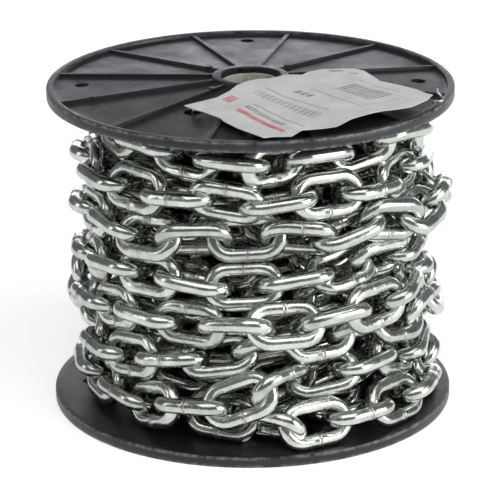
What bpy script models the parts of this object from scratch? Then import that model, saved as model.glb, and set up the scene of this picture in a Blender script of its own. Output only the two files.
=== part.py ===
"""Reel of short-link steel chain: two ribbed plastic flanges on a cardboard tube, with the chain wound
between them and a crumpled paper label on top. Metres, +Z up, origin at the middle of the underside.
"""
import math

import bmesh
import bpy
import numpy as np

MM = 0.001

# Reel
FLANGE_RADIUS = 75 * MM
REEL_HEIGHT = 121.6 * MM        # from the underside to the upper rim's top
RIM_HEIGHT = 4 * MM
RIM_WIDTH = 2.7 * MM
PLATE = 2.5 * MM
DISH = 2.8 * MM                 # the upper flange's hub stands this much above its rim
HUB_RADIUS = 14.1 * MM
BORE_RADIUS = 11 * MM
RIBS = 12
RIB_WIDTH = 1.7 * MM
FIRST_RIB = math.radians(18)
SIDES = 36                      # of the round outlines

# Holes through the flanges: radius, distance from the axis, angle from +X
SMALL_HOLE = 2.7 * MM
SMALL_HOLE_PLACES = [(62 * MM, math.radians(a)) for a in (3, 91, 179, 269)]
END_HOLE = 3.2 * MM
END_HOLE_PLACE = (43.4 * MM, math.radians(241.7))

# Tube
TUBE_RADIUS = 10.7 * MM
TUBE_BORE = 9.5 * MM
TUBE_BOTTOM = 1 * MM
TUBE_TOP = 122.2 * MM

# Chain: 5 mm round wire, 18.5 mm pitch, 17 mm across the link
WIRE_RADIUS = 2.5 * MM
PITCH = 18.5 * MM
LINK_WIDTH = 17 * MM
LINKS_PER_TURN = 21
TURN_COUNT = 8                  # the last turn runs on to the chain's end
CORE_RADIUS = 50 * MM           # that the outer layer rests on
CORE_NECK = 43 * MM             # and at the top, where it sinks in
CORE_SHOULDER = 99 * MM         # height where the neck begins
CLEAR = 0.3 * MM                # between touching pieces
THINNEST = 1.2 * MM             # half the side of a link's square-edged wire where links crowd
THICKEST = 2 * MM               # and where they don't
END_THICKEST = 1.4 * MM         # the same, for the outer links on either side of a turn's end
CORNER_REACH = 1.5              # of the wire's edge, in halves of its side
JOINED = 0.27 * MM              # how far links of one turn run into each other
PARTED = -1.2 * MM              # and the links on either side of a turn's end

# The outer layer, row by row from the bottom. Links are numbered along the chain, twenty-one to a
# turn, with links 0, 21, 42... in front. An entry gives the number of the first joint that it places, then
# for each joint the angle from -Y towards +X and the height, then for each link between two joints its
# lean, the angle of its width above the level plane, and the radii of the winding from left to right.
TURNS = [
    (-1, [(-31, 12), (-13, 12), (4.5, 12), (23, 12), (41, 12), (59, 12), (77, 13)],
     [115, 25, 115, 30, 115, 30], [53, 55, 59, 62, 64, 65, 65]),
    (17, [(-86, 14), (-68, 14), (-50, 12), (-32, 13), (-17, 18.5), (1, 22.5), (19, 25.5), (35, 25), (53, 27),
          (71, 26)],
     [115, 25, 115, 25, 115, 30, 120, 25, 115], [60, 62, 64, 64, 64, 62, 61, 61, 62, 62]),
    (38, [(-76, 34), (-57, 32), (-39, 29), (-21, 34), (-3, 37), (14, 38), (30, 38.5), (47, 39), (64, 39),
          (81, 38)],
     [25, 110, 25, 115, 40, 120, 40, 115, 25], [61, 60.5, 60]),
    (58, [(-99, 50), (-84, 46), (-68, 46), (-51, 44.5), (-30, 49.5), (-12, 49), (6, 49.5), (23, 50), (40, 51),
          (56, 49.5), (74, 47)],
     [130, 20, 110, 20, 110, 20, 110, 20, 110, 20], [69, 67, 61, 60, 60, 59.5, 59]),
    (80, [(-87, 60), (-70, 60), (-50, 61.5), (-33, 63.5), (-15, 68), (3, 70.5), (20, 71), (38, 69), (55, 66),
          (73, 60)],
     [110, 20, 110, 20, 110, 45, 145, 60, 145], [65, 61, 60, 61, 61]),
    (101, [(-81, 77), (-62, 78), (-44, 80.5), (-27, 81.5), (-9, 85.5), (8, 88), (22, 84.5), (36, 81), (54, 78),
           (71, 77), (87, 80)],
     [110, 15, 75, 25, 130, 65, 10, 105, 15, 70], [60, 59, 60, 61, 67, 69]),
    (122, [(-85, 92), (-66, 92), (-48, 92.5), (-31, 92.5), (-15, 96.5), (3, 98.5), (22, 96.5), (41, 94.5),
           (59, 93), (77, 91)],
     [110, 15, 75, 25, 130, 15, 120, 20, 110], [57, 59, 60, 60, 60]),
    (141, [(-107, 103), (-88, 104), (-70, 104), (-54, 103), (-39, 102.5), (-21, 103), (-2, 107), (17, 107),
           (34, 108), (53, 107), (71, 102), (88, 100)],
     [110, 20, 110, 20, 110, 15, 120, 25, 115, 20, 115], [49, 49, 55, 60, 60, 58]),
    (154, [(-235, 107), (-217, 109), (-199, 110), (-181, 110), (-163, 110), (-145, 110), (-127, 110)],
     [45, 135, 45, 135, 45, 135], [59, 57, 56]),
]
BACK_SPREAD = 1.5 * MM          # of the joints' heights and radii where the chain can't be seen
BACK_LEAN_SPREAD = 12           # degrees

# Settling of the links
ROUNDS = 240
WIRE_SPACING = 5.9 * MM         # between the middles of two wires of different links
OUTER_LIMIT = 72 * MM           # for the middle of a wire
TWIST_LIMIT = math.radians(32)  # of a link's lean on the next, either way from square
STEPS_ROUND_LINK = 24
SEED = 7

# The winding under the outer layer, and the plain drum that stands for the turns below it
INNER_TURNS = 6
INNER_LINKS_PER_TURN = 15
INNER_RADIUS = 44.2 * MM
INNER_BOTTOM = 12 * MM
INNER_RISE = 13.2 * MM          # in each turn
INNER_LEAN = 30                 # degrees
INNER_ROUNDS = 160
INNER_SPACING = 5.2 * MM
INNER_SEED = 6
OUTWARD_DRAW = 0.05 * MM        # in each round
INNER_WALL = 34 * MM            # least radius that the inner links' wires keep
DRUM_RADIUS = 33 * MM

# Label: its four edges as x, y and height above the upper rim, read off the photograph
LABEL_THICKNESS = 0.5 * MM
LABEL_LIFT = 0.3 * MM           # above the ribs and the hub
LABEL_GRID = (14, 9)
LABEL_REAR = [(-23.6, -37, 1.9), (-17.3, -33.4, 2.2), (-12, -30, 2.6), (-7.4, -22.5, 2.9), (-5.2, -18, 3.4),
              (-1.2, -12.3, 3.6), (2.5, -8.6, 3.6), (8.6, -6.3, 3.6), (12.7, -2.7, 3.6), (19, -3.6, 3.4),
              (20.9, -0.5, 3.4), (26.5, 2, 3.9), (33.8, 1.1, 4.4), (38.2, 0.8, 4.4)]
LABEL_RIGHT = [(38.2, 0.8, 4.4), (41.8, -0.4, 3.9), (45.2, -5.2, 2.9), (47.2, -8.9, 2.4), (55, -13.6, 1.9),
               (60, -18.6, 1.9), (63.4, -24, 1.9), (65.4, -25.4, 1.9)]
LABEL_FRONT = [(4.3, -72.7, 0.8), (7, -71.2, 0.8), (14, -70.8, 0.8), (15.7, -68, 0.9), (17.5, -67.8, 1.9),
               (25, -63.7, 1.2), (29.7, -62.2, 1.4), (35, -58.5, 2.9), (45.8, -49.7, 2.9), (56.9, -41.8, 2.6),
               (63, -33, 2.2), (65.4, -25.4, 1.9)]
LABEL_LEFT = [(-23.6, -37, 1.9), (-20.7, -40.3, 1.7), (-17.3, -43.2, 1.4), (-10.9, -50.3, 1.2),
              (-9.4, -54.2, 0.9), (-4.2, -62, 0.8), (0.2, -67.5, 0.8), (4.3, -72.7, 0.8)]

# Ties of thin wire, as x, y and height above the upper rim
TIE_RADIUS = 0.45 * MM
LABEL_TIE = [(66.9, -25, 4.2), (67.2, -26.4, 3), (68.2, -27.4, 2.1), (68.6, -28.9, 1.3), (67.4, -30, 0.9),
             (66, -29.6, 0.8), (65.2, -30.6, 0.8)]
END_TIE = [(-20.6, -38.2, -3.8), (-20.6, -38.2, -0.4), (-20.1, -38.6, 0.7), (-18.8, -39.3, 1),
           (-17.2, -39.9, 0.8)]

COLOURS = {
    "plastic": ((0.035, 0.036, 0.039), 0.42, 0.0),
    "cardboard": ((0.62, 0.52, 0.38), 0.9, 0.0),
    "zinc": ((0.66, 0.67, 0.67), 0.28, 1.0),
    "paper": ((0.72, 0.72, 0.73), 0.8, 0.0),
    "tie": ((0.5, 0.5, 0.48), 0.4, 1.0),
}


def clear_scene():
    for item in list(bpy.data.objects):
        bpy.data.objects.remove(item, do_unlink=True)


def material(name):
    colour, roughness, metallic = COLOURS[name]
    made = bpy.data.materials.get(name)
    if made is None:
        made = bpy.data.materials.new(name)
        made.use_nodes = True
        shader = made.node_tree.nodes["Principled BSDF"]
        shader.inputs["Base Color"].default_value = (*colour, 1)
        shader.inputs["Roughness"].default_value = roughness
        shader.inputs["Metallic"].default_value = metallic
    return made


def add_object(name, mesh_data, finish=None):
    piece = bpy.data.objects.new(name, mesh_data)
    bpy.context.scene.collection.objects.link(piece)
    if finish:
        mesh_data.materials.append(material(finish))
    return piece


def add_bmesh(name, shape, finish=None):
    """Put a bmesh in the scene as a named object, with round faces smooth."""
    bmesh.ops.recalc_face_normals(shape, faces=shape.faces)
    mesh_data = bpy.data.meshes.new(name)
    shape.to_mesh(mesh_data)
    shape.free()
    piece = add_object(name, mesh_data, finish)
    mesh_data.shade_smooth()
    mesh_data.set_sharp_from_angle(angle=math.radians(35))
    return piece


def turned(name, profile, finish=None, sides=SIDES):
    """Turn a closed profile of (radius, height) points round the Z axis."""
    shape = bmesh.new()
    rings = []
    for i in range(sides):
        angle = 2 * math.pi * i / sides
        rings.append([shape.verts.new((r * math.cos(angle), r * math.sin(angle), z)) for r, z in profile])
    for i in range(sides):
        here, following = rings[i], rings[(i + 1) % sides]
        for j in range(len(profile)):
            k = (j + 1) % len(profile)
            shape.faces.new((here[j], following[j], following[k], here[k]))
    return add_bmesh(name, shape, finish)


def combine(piece, other, operation):
    """Join or cut one object with another, which stays in the scene as a guide."""
    modifier = piece.modifiers.new(operation.title(), "BOOLEAN")
    modifier.operation = operation
    modifier.solver = "EXACT"
    modifier.object = other
    other.hide_render = True
    other.display_type = "WIRE"


def prisms(name, outlines, low, high):
    """Upright prisms in one mesh, each from its outline and the heights of its two ends at each corner."""
    shape = bmesh.new()
    for outline in outlines:
        bottom = [shape.verts.new((x, y, low(x, y))) for x, y in outline]
        top = [shape.verts.new((x, y, high(x, y))) for x, y in outline]
        shape.faces.new(list(reversed(bottom)))
        shape.faces.new(top)
        for i in range(len(outline)):
            k = (i + 1) % len(outline)
            shape.faces.new((bottom[i], bottom[k], top[k], top[i]))
    return add_bmesh(name, shape)


def round_outline(x, y, radius, sides=10):
    angles = [2 * math.pi * i / sides for i in range(sides)]
    return [(x + radius * math.cos(a), y + radius * math.sin(a)) for a in angles]


def flange(name, dish):
    """One flange lying with its ribbed side up and its rim's top at height zero."""
    slope = dish / (FLANGE_RADIUS - RIM_WIDTH - HUB_RADIUS)

    def rise(x, y):
        return slope * max(0, min(dish / max(slope, 1e-9), FLANGE_RADIUS - RIM_WIDTH - math.hypot(x, y)))

    floor = PLATE - RIM_HEIGHT
    inner_rim = FLANGE_RADIUS - RIM_WIDTH
    body = turned(name, [
        (BORE_RADIUS, dish - RIM_HEIGHT), (HUB_RADIUS, dish - RIM_HEIGHT), (inner_rim, -RIM_HEIGHT),
        (FLANGE_RADIUS, -RIM_HEIGHT), (FLANGE_RADIUS, 0), (inner_rim, 0), (inner_rim, floor),
        (HUB_RADIUS, dish + floor), (HUB_RADIUS, dish), (BORE_RADIUS, dish),
    ], "plastic")

    sunk = 0.4 * MM
    ribs = []
    for i in range(RIBS):
        angle = FIRST_RIB + 2 * math.pi * i / RIBS
        along = (math.cos(angle), math.sin(angle))
        near, far, half = HUB_RADIUS - 1.2 * MM, inner_rim + 1.2 * MM, RIB_WIDTH / 2
        ribs.append([(along[0] * r - along[1] * w, along[1] * r + along[0] * w)
                     for r, w in ((near, -half), (far, -half), (far, half), (near, half))])
    rib_set = prisms(name + "_ribs", ribs,
                     lambda x, y: rise(x, y) + floor - sunk, lambda x, y: rise(x, y) - sunk)
    combine(body, rib_set, "UNION")

    spots = [round_outline(r * math.cos(a), r * math.sin(a), SMALL_HOLE) for r, a in SMALL_HOLE_PLACES]
    distance, angle = END_HOLE_PLACE
    spots.append(round_outline(distance * math.cos(angle), distance * math.sin(angle), END_HOLE))
    drills = prisms(name + "_holes", spots, lambda x, y: -3 * RIM_HEIGHT, lambda x, y: 3 * RIM_HEIGHT)
    combine(body, drills, "DIFFERENCE")
    return body


def add_reel():
    top = flange("top_flange", DISH)
    top.location.z = REEL_HEIGHT
    bottom = flange("bottom_flange", 0.0)
    bottom.rotation_euler.x = math.pi
    for piece, turn in ((top, 0), (bottom, math.pi)):
        for modifier in piece.modifiers:
            modifier.object.location.z = piece.location.z
            modifier.object.rotation_euler.x = turn
    turned("core_tube", [(TUBE_BORE, TUBE_BOTTOM), (TUBE_RADIUS, TUBE_BOTTOM), (TUBE_RADIUS, TUBE_TOP),
                         (TUBE_BORE, TUBE_TOP)], "cardboard", 20)
    low, high = RIM_HEIGHT + CLEAR, REEL_HEIGHT - RIM_HEIGHT - CLEAR
    turned("chain_core", [(BORE_RADIUS, low), (DRUM_RADIUS, low), (DRUM_RADIUS, high), (BORE_RADIUS, high)],
           "zinc", 24)


def core_radius(height):
    """How far in the outer layer's wires can sink, against the winding under it."""
    return np.where(height < CORE_SHOULDER + 1.3 * WIRE_RADIUS, CORE_RADIUS, CORE_NECK)


def wound_links():
    """The chain before it settles: the points where links bear on each other, and each link's lean."""
    numbers, places, links, leans = [], [], [], []
    for turn, (first, joints, leaning, radii) in enumerate(TURNS):
        reach = np.interp(np.linspace(0, 1, len(joints)), np.linspace(0, 1, len(radii)), radii)
        for k, (angle, height) in enumerate(joints):
            numbers.append(first + k)
            places.append((angle + 360 * turn, height * MM, reach[k] * MM))
        for k, lean in enumerate(leaning):
            links.append(first + k)
            leans.append(lean - 90 * (first + k))
    numbers, places = np.array(numbers), np.array(places)
    every_joint = np.arange(numbers[0], numbers[-1] + 1)
    every_link = every_joint[:-1]
    angle, height, radius = (np.interp(every_joint, numbers, places[:, i]) for i in range(3))
    lean = np.interp(every_link, links, np.unwrap(leans, period=180))

    rng = np.random.default_rng(SEED)
    unseen = ~np.isin(every_joint, numbers) * BACK_SPREAD
    height += unseen * rng.uniform(-1, 1, len(every_joint))
    radius += unseen * rng.uniform(-1, 1, len(every_joint))
    lean += ~np.isin(every_link, links) * BACK_LEAN_SPREAD * rng.uniform(-1, 1, len(every_link))
    angle = np.radians(angle)
    joints = np.stack([radius * np.sin(angle), -radius * np.cos(angle), height], axis=1)
    return every_link, joints, np.radians(lean + 90 * every_link)


def link_frames(joints, lean):
    """Middle of each link, the direction along it, and the direction of its width."""
    middle = (joints[1:] + joints[:-1]) / 2
    along = joints[1:] - joints[:-1]
    along /= np.linalg.norm(along, axis=1, keepdims=True)
    outward = middle * (1, 1, 0)
    outward -= along * np.sum(outward * along, axis=1, keepdims=True)
    outward /= np.linalg.norm(outward, axis=1, keepdims=True)
    upward = np.cross(outward, along)
    upward *= np.sign(upward[:, 2:3])
    across = outward * np.cos(lean)[:, None] + upward * np.sin(lean)[:, None]
    return middle, along, across


def link_outline(steps):
    """Middle line of a link's wire, as distances along and across the link."""
    bend = (LINK_WIDTH - 2 * WIRE_RADIUS) / 2
    straight = PITCH / 2 + WIRE_RADIUS - bend
    whole = 4 * straight + 2 * math.pi * bend
    points = []
    for i in range(steps):
        s = whole * i / steps
        side = 1 if s < whole / 2 else -1
        s %= whole / 2
        if s < 2 * straight:
            points.append((side * (straight - s), side * bend))
        else:
            turn = (s - 2 * straight) / bend
            points.append((side * (-straight - bend * math.sin(turn)), side * bend * math.cos(turn)))
    return np.array(points)


def keep_pitch(joints):
    """Bring the joints back to one pitch apart, even links and odd links by turns."""
    for _ in range(12):
        for start in (0, 1):
            left, right = joints[:-1][start::2], joints[1:][start::2]
            step = right - left
            shift = step * (1 - PITCH / np.linalg.norm(step, axis=1, keepdims=True)) / 2
            left += shift
            right -= shift


def keep_square(lean):
    """Limit how far each link turns on the next from square to it."""
    off = (np.diff(lean) % math.pi) - math.pi / 2
    excess = np.clip(off, -TWIST_LIMIT, TWIST_LIMIT) - off
    lean[1:] += excess / 3
    lean[:-1] -= excess / 3


def settle(joints, lean, spacing, rounds, wall, hold=0.0, outward=0.0, fixed=None):
    """Push links apart where their wires are too near, and keep the pitch, until the winding lies still.

    The wires stay off the wall, a radius for each height, and off the fixed wires. The links are held
    towards where they began, or drawn outward, less and less as they settle.
    """
    wanted, wanted_lean = joints.copy(), lean.copy()
    outline = link_outline(STEPS_ROUND_LINK)
    low = RIM_HEIGHT + CLEAR + WIRE_RADIUS * 1.1
    high = REEL_HEIGHT - RIM_HEIGHT - CLEAR - WIRE_RADIUS * 1.1
    share = 0.5 + outline[None, :, :1] / PITCH
    lever = 0.3 * outline[:, 1] / (LINK_WIDTH / 2) ** 2
    first, second = np.triu_indices(len(lean), 2)

    def push(one, other, gap):
        apart = one[:, :, None] - other[:, None]
        distance = np.linalg.norm(apart, axis=3)
        return apart * (np.maximum(gap - distance, 0) / np.maximum(distance, 1e-6))[..., None]

    for round_number in range(rounds):
        done = min(1, round_number / rounds / 0.8)
        gap = spacing * min(1, 0.7 + 0.5 * done)
        middle, along, across = link_frames(joints, lean)
        normal = np.cross(across, along)
        normal *= -np.sign(np.cross(middle * (1, 1, 0), along)[:, 2:3])
        wire = middle[:, None] + outline[None, :, :1] * along[:, None] + outline[None, :, 1:] * across[:, None]
        near = np.linalg.norm(middle[first] - middle[second], axis=1) < 30 * MM
        a, b = first[near], second[near]
        between = push(wire[a], wire[b], gap)
        forces = np.zeros_like(wire)
        np.add.at(forces, a, between.sum(axis=2) / 2)
        np.add.at(forces, b, -between.sum(axis=1) / 2)
        if fixed is not None:
            a, b = np.nonzero(np.linalg.norm(middle[:, None] - fixed.mean(axis=1)[None], axis=2) < 30 * MM)
            np.add.at(forces, a, push(wire[a], fixed[b], gap).sum(axis=2))
        reach = np.linalg.norm(wire[..., :2], axis=2)
        inner = wall(wire[..., 2]) + WIRE_RADIUS * 1.2
        radial = wire * (1, 1, 0) / reach[..., None]
        forces += radial * (np.maximum(inner - reach, 0) - np.maximum(reach - OUTER_LIMIT, 0))[..., None]
        forces[..., 2] += np.maximum(low - wire[..., 2], 0) - np.maximum(wire[..., 2] - high, 0)
        touched = np.maximum((np.abs(forces).max(axis=2) > 0).sum(axis=1), 2)[:, None] ** (0.9 - 0.4 * done)
        joints[:-1] += (forces * (1 - share)).sum(axis=1) / touched
        joints[1:] += (forces * share).sum(axis=1) / touched
        lean += ((forces * normal[:, None]).sum(axis=2) * lever).sum(axis=1) / touched[:, 0]
        pull = hold * (1 - done) ** 2
        joints += (wanted - joints) * pull
        lean += (wanted_lean - lean) * pull
        level = joints * (1, 1, 0)
        joints += level / np.linalg.norm(level, axis=1, keepdims=True) * outward * (1 - done)
        keep_square(lean)
        keep_pitch(joints)
    return joints, lean


def outer_links():
    """The outer layer, settled: the links' numbers, the joints between them and their leans."""
    numbers, joints, lean = wound_links()
    joints, lean = settle(joints, lean, WIRE_SPACING, ROUNDS, core_radius, hold=0.05)
    return numbers, joints, lean


def inner_links(outer_joints, outer_lean):
    """The winding under the outer layer, drawn outward until its wires meet the outer links'."""
    rng = np.random.default_rng(INNER_SEED)
    number = np.arange(INNER_TURNS * INNER_LINKS_PER_TURN + 1)
    turn = number / INNER_LINKS_PER_TURN
    height = INNER_BOTTOM + INNER_RISE * turn + rng.uniform(-1, 1, len(number)) * MM
    radius = INNER_RADIUS + rng.uniform(-1, 1, len(number)) * MM
    angle = 2 * math.pi * turn
    joints = np.stack([radius * np.sin(angle), -radius * np.cos(angle), height], axis=1)
    links = number[:-1]
    lean = np.radians(INNER_LEAN + 90 * links + rng.uniform(-15, 15, len(links)))
    middle, along, across = link_frames(outer_joints, outer_lean)
    outline = link_outline(STEPS_ROUND_LINK)
    wire = middle[:, None] + outline[None, :, :1] * along[:, None] + outline[None, :, 1:] * across[:, None]
    return settle(joints, lean, INNER_SPACING, INNER_ROUNDS, lambda height: INNER_WALL,
                  outward=OUTWARD_DRAW, fixed=wire)


def link_path(half, bites, pointed=False):
    """Corners of a link's wire, as distances along and across the link. Its ends are blunt or, where they
    are joined and the link is a pointed one, pointed."""
    bend, shoulder = 6.2 * MM, 5.6 * MM
    path = []
    for side, bite in ((1, bites[1]), (-1, bites[0])):
        tips = (0,) if pointed and bite > 0 else (bend * 0.52, -bend * 0.52)
        path += [(side * shoulder, side * bend)]
        path += [(side * (PITCH / 2 + half - bite), side * tip) for tip in tips]
        path += [(side * shoulder, -side * bend)]
    return path


def sampled(path, count=64):
    """Points spread evenly over the stretches of a closed path."""
    closed = np.array(path + path[:1])
    steps = np.linspace(0, len(path), count, endpoint=False)
    return np.stack([np.interp(steps, np.arange(len(closed)), closed[:, i]) for i in range(2)], axis=1)


def wire_room(order, pointed, middle, along, across, halves):
    """Distance from each link's wire to the nearest wire of a link that it isn't joined to, or twice the
    distance to the nearest flange or, for outer links, to the surface that they rest on. Links that are
    one apart in order are joined."""
    bites = (JOINED, JOINED)
    outline = np.array([sampled(link_path(half, bites, tip)) for half, tip in zip(halves, pointed)])
    wire = middle[:, None] + outline[..., :1] * along[:, None] + outline[..., 1:] * across[:, None]
    height = wire[..., 2]
    walls = np.minimum(height - RIM_HEIGHT, REEL_HEIGHT - RIM_HEIGHT - height)
    resting = np.linalg.norm(wire[..., :2], axis=2) - core_radius(height)
    room = 2 * np.where(pointed[:, None], walls, np.minimum(walls, resting)).min(axis=1)
    for i in range(len(middle)):
        for k in range(i + 1, len(middle)):
            if order[k] > order[i] + 1 and np.linalg.norm(middle[i] - middle[k]) < 2 * LINK_WIDTH:
                nearest = np.linalg.norm(wire[i][:, None] - wire[k][None], axis=2).min()
                room[i] = min(room[i], nearest)
                room[k] = min(room[k], nearest)
    return room


def add_link(shape, middle, along, across, half, path):
    """One link of square-edged wire, four faces round the wire, with the path's corners."""
    normal = np.cross(along, across)
    rings = []
    for i, (x, y) in enumerate(path):
        before, after = np.array(path[i - 1]), np.array(path[(i + 1) % len(path)])
        here = np.array((x, y))
        one = (here - before) / np.linalg.norm(here - before)
        two = (after - here) / np.linalg.norm(after - here)
        side = np.array((one[1] + two[1], -one[0] - two[0]))
        side /= np.linalg.norm(side)
        side /= side @ (one[1], -one[0])
        ring = []
        for u, v in ((half, half), (-half, half), (-half, -half), (half, -half)):
            flat = here + side * u
            ring.append(shape.verts.new(middle + along * flat[0] + across * flat[1] + normal * v))
        rings.append(ring)
    for i in range(len(rings)):
        here, following = rings[i], rings[(i + 1) % len(rings)]
        for j in range(4):
            k = (j + 1) % 4
            shape.faces.new((here[j], following[j], following[k], here[k]))


def keep_largest_body(piece):
    """Apply a piece's Boolean and drop the slivers that crossing wires leave."""
    shape = bmesh.new()
    shape.from_object(piece, bpy.context.evaluated_depsgraph_get())
    shape.faces.ensure_lookup_table()
    left = set(shape.faces)
    bodies = []
    while left:
        body, edge = set(), {left.pop()}
        while edge:
            body |= edge
            edge = {other for face in edge for side in face.edges for other in side.link_faces} - body
        left -= body
        bodies.append(body)
    bodies.sort(key=len)
    slivers = [face for body in bodies[:-1] for face in body]
    bmesh.ops.delete(shape, geom=slivers, context="FACES")
    bmesh.ops.dissolve_degenerate(shape, dist=0.001 * MM, edges=shape.edges)
    for modifier in list(piece.modifiers):
        bpy.data.objects.remove(modifier.object, do_unlink=True)
        piece.modifiers.remove(modifier)
    shape.to_mesh(piece.data)
    shape.free()


def add_chain():
    numbers, joints, lean = outer_links()
    inner_joints, inner_lean = inner_links(joints, lean)
    order = np.concatenate([numbers, numbers[-1] + 2 + np.arange(len(inner_lean))])
    pointed = np.arange(len(order)) >= len(numbers)
    frames = zip(link_frames(joints, lean), link_frames(inner_joints, inner_lean))
    middle, along, across = [np.concatenate(pair) for pair in frames]
    halves = np.full(len(order), THICKEST)
    for _ in range(4):
        room = (wire_room(order, pointed, middle, along, across, halves) - CLEAR) / 2 / CORNER_REACH
        halves = np.clip(room, THINNEST, halves)

    outer = np.minimum((numbers + LINKS_PER_TURN // 2) // LINKS_PER_TURN, TURN_COUNT - 1)
    inner = np.arange(len(inner_lean)) // INNER_LINKS_PER_TURN
    turns = [(f"chain_turn_{k + 1}", np.flatnonzero(outer == k)) for k in range(TURN_COUNT)]
    turns += [(f"inner_turn_{k + 1}", len(outer) + np.flatnonzero(inner == k)) for k in range(INNER_TURNS)]
    for name, members in turns:
        ends = members[[0, -1]]
        halves[ends] = np.minimum(halves[ends], np.where(pointed[ends], THINNEST, END_THICKEST))
        sets = [bmesh.new(), bmesh.new()]
        for i in members:
            bites = [PARTED if i == end else JOINED for end in ends]
            path = link_path(halves[i], bites, pointed[i])
            add_link(sets[i % 2], middle[i], along[i], across[i], halves[i], path)
        body = add_bmesh(name, sets[0], "zinc")
        combine(body, add_bmesh(name + "_links", sets[1]), "UNION")
        keep_largest_body(body)


def along_edge(points, share):
    """Point at a share of the way along a line of points."""
    points = np.array(points, dtype=float)
    lengths = np.concatenate([[0], np.cumsum(np.linalg.norm(np.diff(points[:, :2], axis=0), axis=1))])
    return np.array([np.interp(share * lengths[-1], lengths, points[:, i]) for i in range(3)])


def support(x, y):
    """Height, above the upper rim, of the ribs and the hub ring that the label lies on."""
    slope = DISH / (FLANGE_RADIUS - RIM_WIDTH - HUB_RADIUS)
    return min(DISH, max(0, slope * (FLANGE_RADIUS - RIM_WIDTH - math.hypot(x, y))))


def label_surface(s, t):
    """Underside of the label: s runs along its rear and front edges, t from the rear to the front."""
    rear, front = along_edge(LABEL_REAR, s), along_edge(LABEL_FRONT, s)
    left, right = along_edge(LABEL_LEFT, t), along_edge(LABEL_RIGHT, t)
    corners = [np.array(p, dtype=float) for p in (LABEL_REAR[0], LABEL_REAR[-1], LABEL_FRONT[0], LABEL_FRONT[-1])]
    flat = ((1 - s) * (1 - t) * corners[0] + s * (1 - t) * corners[1] + (1 - s) * t * corners[2]
            + s * t * corners[3])
    x, y, z = ((1 - t) * rear + t * front + (1 - s) * left + s * right - flat) * MM
    return x, y, REEL_HEIGHT + max(z, support(x, y) + LABEL_LIFT)


def add_label():
    across, deep = LABEL_GRID
    shape = bmesh.new()
    layers = []
    for lift in (0, LABEL_THICKNESS):
        grid = []
        for i in range(across + 1):
            row = []
            for k in range(deep + 1):
                x, y, z = label_surface(i / across, k / deep)
                row.append(shape.verts.new((x, y, z + lift)))
            grid.append(row)
        layers.append(grid)
    for grid in layers:
        for i in range(across):
            for k in range(deep):
                shape.faces.new((grid[i][k], grid[i + 1][k], grid[i + 1][k + 1], grid[i][k + 1]))
    rim = [(i, 0) for i in range(across)] + [(across, k) for k in range(deep)]
    rim += [(i, deep) for i in range(across, 0, -1)] + [(0, k) for k in range(deep, 0, -1)]
    low, high = layers
    for (i, k), (m, n) in zip(rim, rim[1:] + rim[:1]):
        shape.faces.new((low[i][k], low[m][n], high[m][n], high[i][k]))
    add_bmesh("label", shape, "paper")


def add_wire(name, points, radius, sides=6):
    """A wire of one thickness along a line of points, closed at both ends."""
    points = [np.array((x * MM, y * MM, REEL_HEIGHT + z * MM)) for x, y, z in points]
    shape = bmesh.new()
    normal = np.array((0.3, 0.9, 0.1))
    rings = []
    for i, point in enumerate(points):
        ahead = points[min(i + 1, len(points) - 1)] - points[max(i - 1, 0)]
        ahead /= np.linalg.norm(ahead)
        normal = normal - ahead * (normal @ ahead)
        normal /= np.linalg.norm(normal)
        other = np.cross(ahead, normal)
        angles = [2 * math.pi * k / sides for k in range(sides)]
        rings.append([shape.verts.new(point + radius * (normal * math.cos(a) + other * math.sin(a)))
                      for a in angles])
    for here, following in zip(rings, rings[1:]):
        for k in range(sides):
            m = (k + 1) % sides
            shape.faces.new((here[k], here[m], following[m], following[k]))
    shape.faces.new(list(reversed(rings[0])))
    shape.faces.new(rings[-1])
    add_bmesh(name, shape, "tie")


def main():
    clear_scene()
    add_reel()
    add_chain()
    add_label()
    add_wire("label_tie", LABEL_TIE, TIE_RADIUS)
    add_wire("end_tie", END_TIE, TIE_RADIUS)


main()
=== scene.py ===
"""Looks of the reel of steel chain: bright zinc links in two layers, moulded plastic flanges, a cardboard
tube, a crumpled paper label and its wire ties. Metres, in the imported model's frame.
"""
import math

import bmesh
import bpy
import numpy as np
from mathutils import Matrix, Vector


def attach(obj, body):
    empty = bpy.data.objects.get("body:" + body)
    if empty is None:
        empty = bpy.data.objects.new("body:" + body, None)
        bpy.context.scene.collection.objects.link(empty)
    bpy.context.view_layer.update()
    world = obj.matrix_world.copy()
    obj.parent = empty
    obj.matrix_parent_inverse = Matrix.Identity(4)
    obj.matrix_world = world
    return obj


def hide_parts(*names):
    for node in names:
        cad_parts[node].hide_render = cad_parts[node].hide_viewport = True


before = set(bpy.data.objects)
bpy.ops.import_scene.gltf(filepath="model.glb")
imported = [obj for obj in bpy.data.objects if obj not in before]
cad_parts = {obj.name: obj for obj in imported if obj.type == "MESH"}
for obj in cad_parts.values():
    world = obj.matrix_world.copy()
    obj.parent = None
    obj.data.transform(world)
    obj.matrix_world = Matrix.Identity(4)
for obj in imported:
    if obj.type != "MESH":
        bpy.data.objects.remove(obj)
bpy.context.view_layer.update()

MM = 0.001

# Reel
FLANGE_RADIUS = 75 * MM
REEL_HEIGHT = 121.6 * MM        # from the underside to the upper rim's top
RIM_HEIGHT = 4 * MM
RIM_WIDTH = 2.7 * MM
INNER_RIM = FLANGE_RADIUS - RIM_WIDTH
PLATE = 2.5 * MM
PLATE_TOP = PLATE - RIM_HEIGHT  # next to the rim, from the rim's top
DISH = 2.8 * MM                 # the upper flange's hub stands this much above its rim
HUB_RADIUS = 14.1 * MM
BORE_RADIUS = 11 * MM
RIBS = 12
FIRST_RIB = math.radians(18)
RIB_SUNK = 0.4 * MM             # how far the ribs' tops lie below the rim's
PANEL_STEPS = 8                 # round the flange, from one rib to the next

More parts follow.
